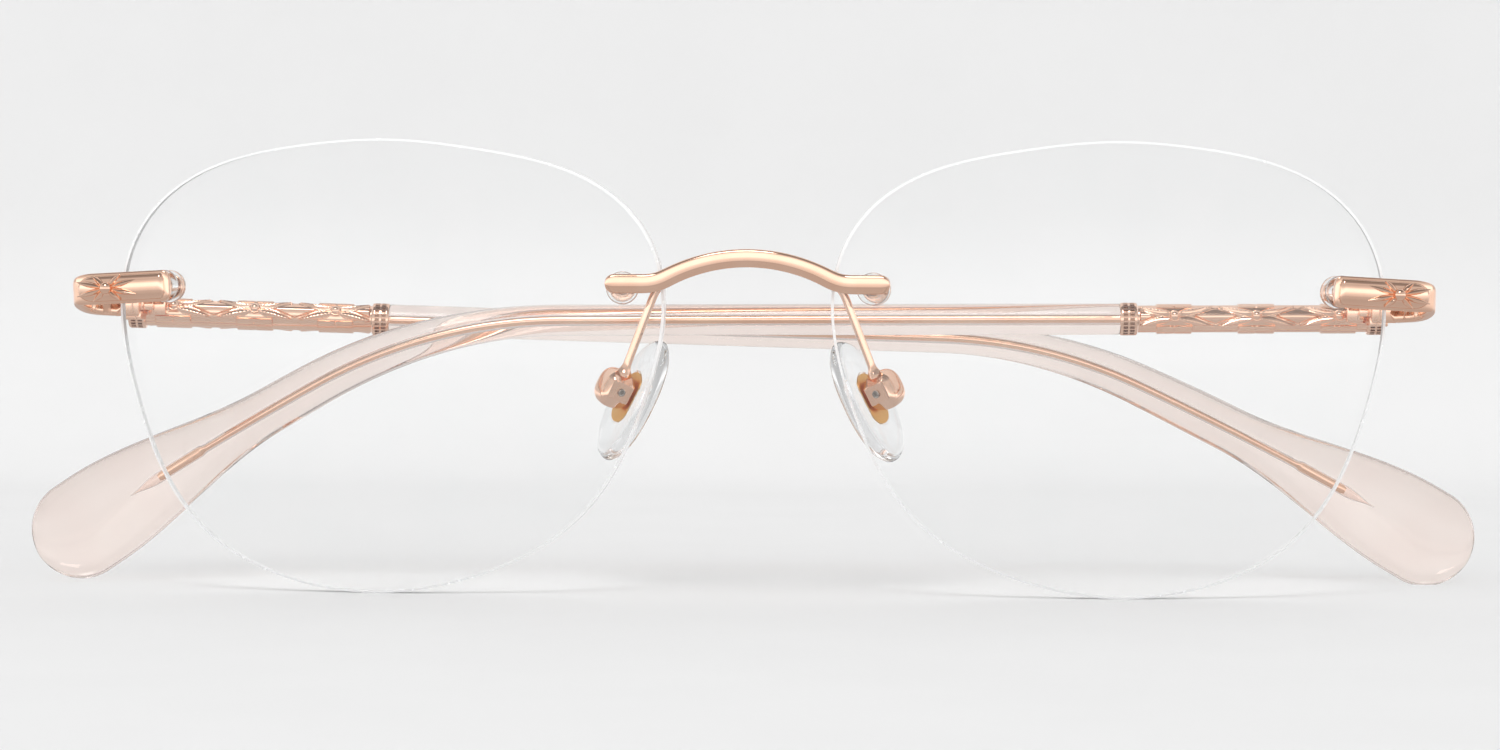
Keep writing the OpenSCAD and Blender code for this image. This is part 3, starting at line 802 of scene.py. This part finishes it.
def pad_box(side):
    """Polished lump with a flat four-sided facet at the screw end."""
    n, power, radii = 20, 2.7, np.array((2.0, 1.72, 2.02))
    grid = np.tan(np.linspace(-1, 1, n) * math.pi / 4)
    points, faces = [], []
    for a, b, c in ((0, 1, 2), (1, 2, 0), (2, 0, 1)):
        for sign in (1, -1):
            base = len(points)
            for u in grid:
                for v in grid:
                    p = np.zeros(3)
                    p[a], p[b], p[c] = u, v, sign
                    points.append(p / (np.abs(p) ** power).sum() ** (1 / power) * radii)
            faces += [(k, k + 1, k + n + 1, k + n)
                      for i in range(n - 1) for k in range(base + i * n, base + i * n + n - 1)]
    points = np.array(points)
    # The facet towards the viewer, the two flats above and below it, and the flat back near the pad
    points[:, 0] = np.maximum(points[:, 0], -1.5)
    for rise in (0.78, -0.78):
        flat = np.array((-0.62, 0.0, rise))
        points -= np.maximum(points @ flat - 1.66, 0)[:, None] * flat
    points[:, 1] = np.minimum(points[:, 1], 1.2)
    shell = ([tuple(p) for p in points], faces)
    matrix = pad_frame(side) @ move(*PAD_SCREW) @ move(0.1, -0.02, 0)
    piece(f"pad_box_{side}_shell", [shell], ROSE, "front", [f"pad_box_{side}"], matrix, 26)


def pad_screw(side):
    """Turned steel pin with a dimpled end."""
    profile = [(0.02, -1.42), (0.12, -1.42), (0.2, -1.56), (0.34, -1.6),
               (0.4, -1.54), (0.4, 2.25), (0.34, 2.35), (0.02, 2.35)]
    matrix = pad_frame(side) @ move(*PAD_SCREW)
    piece(f"pad_screw_{side}_pin", [lathe(profile, 40, "X")], STEEL, "front",
          [f"pad_screw_{side}"], matrix)


def pad_insert(side):
    """Thin plate in the back of the pad with a tongue that enters the pad box."""
    q = full_turn(72)
    straight = np.where(np.sin(q) > 0, INSERT_R, -INSERT_R)
    outline = np.stack([INSERT_R * np.cos(q), INSERT_R * np.sin(q) + straight], 1)
    back = -PAD_T / 2
    rings = [upright(outline * grow, back + y)
             for y, grow in ((-0.03, 0.95), (-0.01, 0.99), (0.3, 0.99), (0.34, 0.96))]
    tongue = soft_box((-0.42, -3.15, -0.7), (0.42, back + 0.1, 1.3), 0.12)
    piece(f"pad_insert_{side}_plate", [skin(rings), tongue], INSERT, f"pad_{side}",
          [f"pad_insert_{side}"], pad_frame(side), 30)


def pad_outline(count):
    """Rounded teardrop, a little narrower at the top."""
    x, z = superellipse(count, 2.25)
    return np.stack([PAD_W / 2 * x * (1 - 0.05 * z), PAD_LEN / 2 * z], 1)


def nose_pad(side):
    """Clear pad with a crowned face, a soft edge and a recess for its insert."""
    outline = pad_outline(128)
    rim = 1 - 0.25 * np.cos(np.linspace(0, np.pi / 2, 12)[1:])
    shares = np.concatenate([np.linspace(0.03, 0.75, 20), rim])
    front, back = [], []
    for share in shares:
        p = outline * share
        edge = (1 - share ** 5.0) ** 0.5 if share < 1 else 0.0
        crown = 0.72 + 0.28 * (1 - share ** 2)
        y_front = np.full(len(p), PAD_T / 2 * edge * crown)
        past = np.maximum(np.abs(p[:, 1]) - INSERT_R, 0)
        reach = INSERT_R + 0.06 - np.sqrt(p[:, 0] ** 2 + past ** 2)
        y_back = np.full(len(p), -PAD_T / 2 * edge) + 0.37 * smooth(reach / 0.12)
        front.append(upright(p, y_front))
        back.append(upright(p, y_back))
    rings = np.array(front + back[-2::-1])
    piece(f"nose_pad_{side}_clear", [skin(rings)], SILICONE, f"pad_{side}",
          [f"nose_pad_{side}"], pad_frame(side), 50)


# ---------------------------------------------------------------- temple metal

def tube_relief(x, t):
    """Height of the ornament at x along the tube and t round it, t measured from a row of beads."""
    u = (x - BEAD_X[0] + BEAD_PITCH / 2) % BEAD_PITCH - BEAD_PITCH / 2
    au, at = np.abs(u), np.abs(t)
    # Long petals from each bead, above and below the diamonds
    petal_len = 3.95
    centre = 0.2 + 0.22 * au
    width = 0.4 * np.sin(np.pi * np.clip((au - 0.1) / petal_len, 0, 1) ** 0.7)
    petal = np.clip(1 - np.abs(at - centre) / np.maximum(width, 0.02), 0, 1)
    height = 0.24 * petal ** 0.7 * (width > 0.03)
    # Grooves beside them
    groove = -0.08 * smooth((1.22 - at) / 0.1)
    # Roof-shaped diamonds midway between beads, each in a fine groove
    diamond_len, diamond_half = 2.15, 0.84
    diamond = 1 - (BEAD_PITCH / 2 - au) / diamond_len - at / diamond_half
    roof = 0.22 - 0.2 * at
    height = np.where(diamond > -0.1, np.minimum(height, -0.06), height)
    height = np.where(diamond > 0, roof, height)
    # Scalloped petals over the top and the bottom at each bead
    lobe_r, lobe_end = 0.95, 1.85
    edge = smooth((at - 1.02) / 0.14)
    lobe = 0.62 + 0.75 * np.sqrt(np.clip(1 - ((au - lobe_r) / lobe_r) ** 2, 0, 1))
    scallop = np.where((au < lobe_end) & (at > 1.9 - lobe), 0.12, 0.0)
    vee = np.where((au < lobe_end) & (au > 0.07), 0.03, -0.02)
    return np.where(edge > 0.5, scallop + np.where(scallop > 0, vee, 0.0), np.maximum(height, groove))


def shade_recess(mesh, placed, material, radius, start, stop):
    """Faces of a tube or a collar that lie below a radius get a duller, darker metal: painted shade in
    the recesses.
    """
    bore = 1.2
    mesh.materials.append(material)
    back = placed.inverted()
    for face in mesh.polygons:
        at = back @ (face.center / MM)
        if start < at.x < stop and bore < math.hypot(at.y - TUBE_OFF, at.z) < radius:
            face.material_index = 1


def tube(side):
    """Metal tube with its relief on both faces."""
    xs = np.arange(TUBE_START + COLLAR_LEN, TUBE_END - COLLAR_LEN + 0.01, 0.085)
    q = full_turn(120)
    front = np.radians(-BEAD_TURN[side])
    around = (q - front + np.pi / 2) % np.pi - np.pi / 2
    x, t = np.meshgrid(xs, around * TUBE_R, indexing="ij")
    relief = tube_relief(x, t)
    fade = smooth((xs - xs[0] - 0.15) / 0.1) * smooth((xs[-1] - 0.15 - xs) / 0.1)
    r = TUBE_R - 0.07 + relief * fade[:, None]
    rings = np.stack([x, TUBE_OFF - r * np.cos(q)[None], -r * np.sin(q)[None]], 2)
    bar = piece(f"tube_{side}_ornament", [skin(rings)], ROSE, f"temple_{side}",
                [f"tube_{side}"], temple_frame(side), 24)
    # Painted shade: the grooves of the relief get the darker, duller metal
    shade_recess(bar.data, temple_frame(side), ROSE_GROOVE_PAINTED_SHADE, TUBE_R - 0.112, xs[0] + 0.3, xs[-1] - 0.3)


def collar(side, place, x0, bore):
    """Ring with two rows of small rectangular pockets, and a rounded lip at each end."""
    pockets, deep, wall, lip, bore_r = 24, 0.16, 0.012, 0.16, 0.66
    spacing = 2 * np.pi / pockets
    half = spacing * 0.29
    q = (full_turn(pockets)[:, None] + np.array([-half - wall, -half, half, half + wall])).ravel()
    in_pocket = np.tile([0, 1, 1, 0], pockets)
    r = COLLAR_R
    profile = [(r - lip * 2, 0.0, 0), (r - lip * 0.6, 0.02, 0), (r - 0.03, 0.1, 0), (r, 0.2, 0)]
    for row in (0.56, 1.24):
        profile += [(r, row - 0.235, 0), (r, row - 0.22, 1), (r, row + 0.22, 1), (r, row + 0.235, 0)]
    profile += [(r, 1.6, 0), (r - 0.03, 1.7, 0), (r - lip * 0.6, 1.78, 0), (r - lip * 2, COLLAR_LEN, 0)]
    if bore:
        profile += [(bore_r, COLLAR_LEN, 0), (bore_r, 0.0, 0)]
    rings = []
    for radius, x, row_here in profile:
        radius = radius - deep * in_pocket * row_here
        y, z = TUBE_OFF + radius * np.cos(q), radius * np.sin(q)
        rings.append(np.stack([np.full(len(q), x0 + x), y, z], 1))
    shell = skin(rings, looped=bore)
    ring = piece(f"{place}_collar_{side}_pierced", [shell], ROSE, f"temple_{side}",
                 [f"{place}_collar_{side}"], temple_frame(side), 26)
    # Painted shade: the pocket floors get a much darker, duller metal
    shade_recess(ring.data, temple_frame(side), ROSE_POCKET_PAINTED_SHADE, COLLAR_R - 0.05, x0 + 0.3, x0 + 1.5)


def tube_beads(side):
    """One bead in a fine setting on each flower."""
    shells = []
    for x in BEAD_X:
        centre = (0, -TUBE_R - 0.06, 0)
        spin = move(x, TUBE_OFF, 0) @ turn(-BEAD_TURN[side], "X")
        shells.append(moved(ball(centre, (0.5, 0.46, 0.5)), spin))
        shells.append(moved(ring_solid(0.3, 0.6, -TUBE_R - 0.1, -TUBE_R + 0.15, 0.08, 48), spin))
    piece(f"tube_beads_{side}_set", shells, ROSE, f"temple_{side}", [f"tube_beads_{side}"],
          temple_frame(side))


def hinge_leaf(side):
    """Middle barrel of the hinge and the block that carries the tube."""
    rise = HINGE_RISE
    shells = [turned(BARREL_R, rise - 0.55, rise + 0.55, 0.08, 48, "Z"),
              soft_box((0, -0.5, rise - 0.53), (1.9, 1.2, rise + 0.53), 0.1),
              soft_box((1.3, 0.1, -0.28), (3.1, 2.2, 1.6), 0.2)]
    piece(f"hinge_leaf_{side}_block", shells, ROSE, f"temple_{side}", [f"hinge_leaf_{side}"],
          temple_frame(side, False))


# ---------------------------------------------------------------- wires and sleeves

def temple_path(hook):
    """A function of the length along a temple that gives x, z and the downward slope there."""
    bend_len = BEND_R * math.radians(hook)

    def angle(s):
        if s < BEND_START:
            return 0.0
        if s < BEND_START + bend_len:
            return (s - BEND_START) / BEND_R
        rest = (s - BEND_START - bend_len) / (TEMPLE_LEN - BEND_START - bend_len)
        return math.radians(hook + CURL * rest)

    step = 0.25
    table, x, z, s = [(BEND_START, BEND_START, 0.0)], BEND_START, 0.0, BEND_START
    while s < TEMPLE_LEN:
        a = angle(s + step / 2)
        s, x, z = s + step, x + step * math.cos(a), z - step * math.sin(a)
        table.append((s, x, z))
    table = np.array(table)

    def at(s):
        if s <= BEND_START:
            return s, 0.0, 0.0
        return np.interp(s, table[:, 0], table[:, 1]), np.interp(s, table[:, 0], table[:, 2]), angle(s)

    return at


def temple_ring(place, half, thick, sides):
    """An oval across the temple's centre line: half its height, and half its thickness."""
    x, z, a = place
    q = full_turn(sides)
    tall = half * np.sin(q)
    return np.stack([x + tall * math.sin(a), TUBE_OFF + thick * np.cos(q), z + tall * math.cos(a)], 1)


def end_round(s):
    """Share of its size that the sleeve keeps in the round end of the paddle."""
    start = TEMPLE_LEN - PADDLE_HALF
    return 1.0 if s <= start else math.sqrt(max(1 - ((s - start) / PADDLE_HALF) ** 2, 0.0001))


def sleeve_half(s):
    return (1.62 + 0.83 * smooth((s - 84) / 34) + 2.75 * smooth((s - 116) / 22)) * end_round(s)


def sleeve_thick(s):
    return (1.62 - 0.37 * smooth((s - 100) / 38)) * end_round(s) ** 0.5


def wire_half(s):
    return CORE_R + 0.12 * smooth((s - BLADE_START) / BLADE_FLARE)


def wire_thick(s):
    return CORE_R - 0.14 * smooth((s - BLADE_START) / BLADE_FLARE)


def wire_stations(start, count):
    """Lengths along the wire up to the end of the blade's flare."""
    return [np.linspace(start, BEND_START, count), np.arange(BEND_START + 1, BLADE_START, 1.0),
            np.linspace(BLADE_START, BLADE_START + BLADE_FLARE, 7)]


def core_wire(side):
    """Round wire that ends in a flattened blade with rounded corners."""
    at = temple_path(HOOK[side])
    stations = np.concatenate(wire_stations(WIRE_START, 22) + [
        np.linspace(WIRE_END - 3, WIRE_END - 0.35, 5), [WIRE_END - 0.15, WIRE_END - 0.04, WIRE_END]])
    rings = []
    for s in stations:
        tip = 1 - 0.3 * smooth((s - WIRE_END + 0.4) / 0.4)
        rings.append(temple_ring(at(s), wire_half(s) * tip, wire_thick(s) * tip, 40))
    piece(f"core_wire_{side}_blade", [skin(rings)], WIRE, f"temple_{side}",
          [f"core_wire_{side}"], temple_frame(side))


def sleeve(side):
    """See-through sleeve with its blind channel, ear hook and paddle."""
    sides, fit = 96, 0.03
    at = temple_path(HOOK[side])
    end_start = TEMPLE_LEN - PADDLE_HALF
    outer_s = np.concatenate([
        [TUBE_END, TUBE_END + 0.05, TUBE_END + 0.15], np.linspace(TUBE_END + 1, BEND_START, 20),
        np.arange(BEND_START + 0.5, end_start - 0.2, 0.5),
        end_start + PADDLE_HALF * np.sin(np.linspace(0, np.pi / 2, 36)[:-1]), [TEMPLE_LEN - 0.003]])
    inner_s = np.concatenate(wire_stations(TUBE_END, 20) + [
        [WIRE_END - 3, WIRE_END - 1, WIRE_END + 0.1], np.linspace(WIRE_END + 0.4, CAVITY_END, 10)])
    outer, inner = [], []
    for i, s in enumerate(outer_s):
        ease = (0.94, 0.985, 1.0)[min(i, 2)]
        outer.append(temple_ring(at(s), sleeve_half(s) * ease, sleeve_thick(s) * ease, sides))
    for s in inner_s:
        point = 1 - 0.93 * smooth((s - WIRE_END) / (CAVITY_END - WIRE_END)) ** 1.2
        tall, thick = (wire_half(s) + fit) * point, (wire_thick(s) + fit) * (0.3 + 0.7 * point)
        inner.append(temple_ring(at(s), tall, thick, sides))
    piece(f"sleeve_{side}_tip", [skin(inner[::-1] + outer)], BLUSH, f"temple_{side}",
          [f"sleeve_{side}"], temple_frame(side), 60)


# ---------------------------------------------------------------- stage, lights, camera

def height_ramp(nt, source, stops, low=-1.0):
    """Grey ramp over the Z part of a direction, from low to 1."""
    split = nt.nodes.new("ShaderNodeSeparateXYZ")
    rise = nt.nodes.new("ShaderNodeMapRange")
    rise.inputs["From Min"].default_value = low
    ramp = nt.nodes.new("ShaderNodeValToRGB")
    steps = ramp.color_ramp.elements
    while len(steps) < len(stops):
        steps.new(0.5)
    for step, (height, light) in zip(steps, stops):
        step.position = (height - low) / (1 - low)
        step.color = (light, light, light, 1)
    nt.links.new(source, split.inputs["Vector"])
    nt.links.new(split.outputs["Z"], rise.inputs["Value"])
    nt.links.new(rise.outputs["Result"], ramp.inputs["Fac"])
    return ramp.outputs["Color"]


def floor_material():
    """Matt paper that glows for rays off polished metal, a painted reflection whose brightness goes by
    the ray's steepness, and that has no back.
    """
    mat, nt, shader = node_tree("studio_paper")
    shader.inputs["Specular IOR Level"].default_value = 0.0
    grain = object_noise(nt, 40.0)
    nt.links.new(tinted(nt, grain, (0.80, 0.80, 0.80), (0.81, 0.81, 0.81)), shader.inputs["Base Color"])
    shader.inputs["Roughness"].default_value = 0.9
    # A ray off metal meets a floor that glows, brighter the more level the ray is: a painted reflection
    # in place of the lit paper. The wall stays as it is
    path = nt.nodes.new("ShaderNodeLightPath")
    place = nt.nodes.new("ShaderNodeNewGeometry")
    seen = nt.nodes.new("ShaderNodeEmission")
    seen.inputs["Strength"].default_value = SKY_STRENGTH
    nt.links.new(height_ramp(nt, place.outputs["Incoming"], MIRROR_FLOOR, 0.0), seen.inputs["Color"])
    normal = nt.nodes.new("ShaderNodeSeparateXYZ")
    mirrored = nt.nodes.new("ShaderNodeMath")
    mirrored.operation = "MINIMUM"
    mirrored.inputs[1].default_value = 1.0
    share = nt.nodes.new("ShaderNodeMath")
    share.operation = "MULTIPLY"
    nt.links.new(place.outputs["Normal"], normal.inputs["Vector"])
    nt.links.new(path.outputs["Glossy Depth"], mirrored.inputs[0])
    nt.links.new(normal.outputs["Z"], share.inputs[0])
    nt.links.new(mirrored.outputs["Value"], share.inputs[1])
    paper = blended(nt, share.outputs["Value"], shader.outputs["BSDF"], seen.outputs["Emission"])
    # The back of the paper isn't there for a viewer or a lamp behind it
    gap = nt.nodes.new("ShaderNodeBsdfTransparent")
    sheet = blended(nt, place.outputs["Backfacing"], paper, gap.outputs["BSDF"])
    nt.links.new(sheet, nt.nodes["Material Output"].inputs["Surface"])
    return mat


def paper_sweep():
    """Pale floor that curves up into a plain wall behind the reach of the open temples."""
    curve_y, radius, half_width, reach, top = 0.155, 0.04, 0.9, 0.9, 0.7
    profile = [(-reach, 0.0), (-0.2, 0.0), (curve_y, 0.0)]
    for t in np.linspace(0, math.pi / 2, 16)[1:]:
        profile.append((curve_y + radius * math.sin(t), radius - radius * math.cos(t)))
    profile.append((curve_y + radius, top))
    points = [(x, y, z) for y, z in profile for x in (-half_width, half_width)]
    faces = [(2 * i, 2 * i + 1, 2 * i + 3, 2 * i + 2) for i in range(len(profile) - 1)]
    mesh = bpy.data.meshes.new("studio_floor")
    mesh.from_pydata(points, [], faces)
    mesh.shade_smooth()
    mesh.materials.append(floor_material())
    obj = add_object("studio_floor", mesh)


def lamp(name, place, target, size, power):
    """A soft rectangular lamp turned towards a target; places are in metres."""
    data = bpy.data.lights.new(name, "AREA")
    data.shape = "RECTANGLE"
    data.size, data.size_y = size
    data.energy = power
    obj = add_object(name, data)
    obj.location = place
    obj.rotation_mode = "QUATERNION"
    obj.rotation_quaternion = (Vector(target) - Vector(place)).to_track_quat("-Z", "Y")


def studio_sky(nt):
    """A tent of light: dim at the horizon, a bright band above it and a darker ceiling.

    Rays off polished metal see a sky of their own; Glossy Depth is 0 for the rays of the camera.
    """
    coords = nt.nodes.new("ShaderNodeTexCoord")
    path = nt.nodes.new("ShaderNodeLightPath")
    mix = nt.nodes.new("ShaderNodeMix")
    mix.data_type = "RGBA"
    plain = height_ramp(nt, coords.outputs["Generated"], SKY)
    mirrored = height_ramp(nt, coords.outputs["Generated"], MIRROR_SKY)
    mix.clamp_factor = True
    nt.links.new(path.outputs["Glossy Depth"], mix.inputs[0])
    nt.links.new(plain, mix.inputs[6])
    nt.links.new(mirrored, mix.inputs[7])
    nt.links.new(mix.outputs[2], nt.nodes["Background"].inputs["Color"])
    nt.nodes["Background"].inputs["Strength"].default_value = SKY_STRENGTH


def studio():
    """Sky, one lamp and the render settings that clear pieces need."""
    scene = bpy.context.scene
    world = bpy.data.worlds.new("studio")
    scene.world = world
    world.use_nodes = True
    studio_sky(world.node_tree)
    lamp("key", (-0.12, -0.7, 1.0), (0, 0, 0.02), (0.5, 0.4), KEY_POWER)
    scene.view_settings.view_transform = "Standard"
    scene.cycles.max_bounces = BOUNCES
    scene.cycles.transmission_bounces = BOUNCES
    scene.cycles.transparent_max_bounces = BOUNCES
    scene.cycles.glossy_bounces = 8


def camera():
    """At the photograph's angle: a little to the wearer's left of straight ahead and a little above."""
    data = bpy.data.cameras.new("camera")
    data.sensor_width = 36.0
    data.lens = CAMERA_LENS
    data.clip_start, data.clip_end = 0.01, 20
    obj = add_object("camera", data)
    placed = move(*(c * MM for c in CAMERA_AIM)) @ turn(CAMERA_YAW, "Z") @ turn(-CAMERA_LIFT, "X")
    placed = placed @ move(y=-CAMERA_FAR * MM) @ turn(90, "X") @ turn(CAMERA_ROLL, "Z")
    obj.matrix_world = placed
    bpy.context.scene.camera = obj


camera()
paper_sweep()
studio()
fasteners()
bridge()
for side in SIDES:
    lens(side)
    endpiece(side)
    star(side)
    hinge_screw(side)
    pad_arm(side)
    pad_box(side)
    pad_screw(side)
    pad_insert(side)
    nose_pad(side)
    hinge_leaf(side)
    tube(side)
    tube_beads(side)
    collar(side, "front", TUBE_START, False)
    collar(side, "rear", TUBE_END - COLLAR_LEN, True)
    core_wire(side)
    sleeve(side)
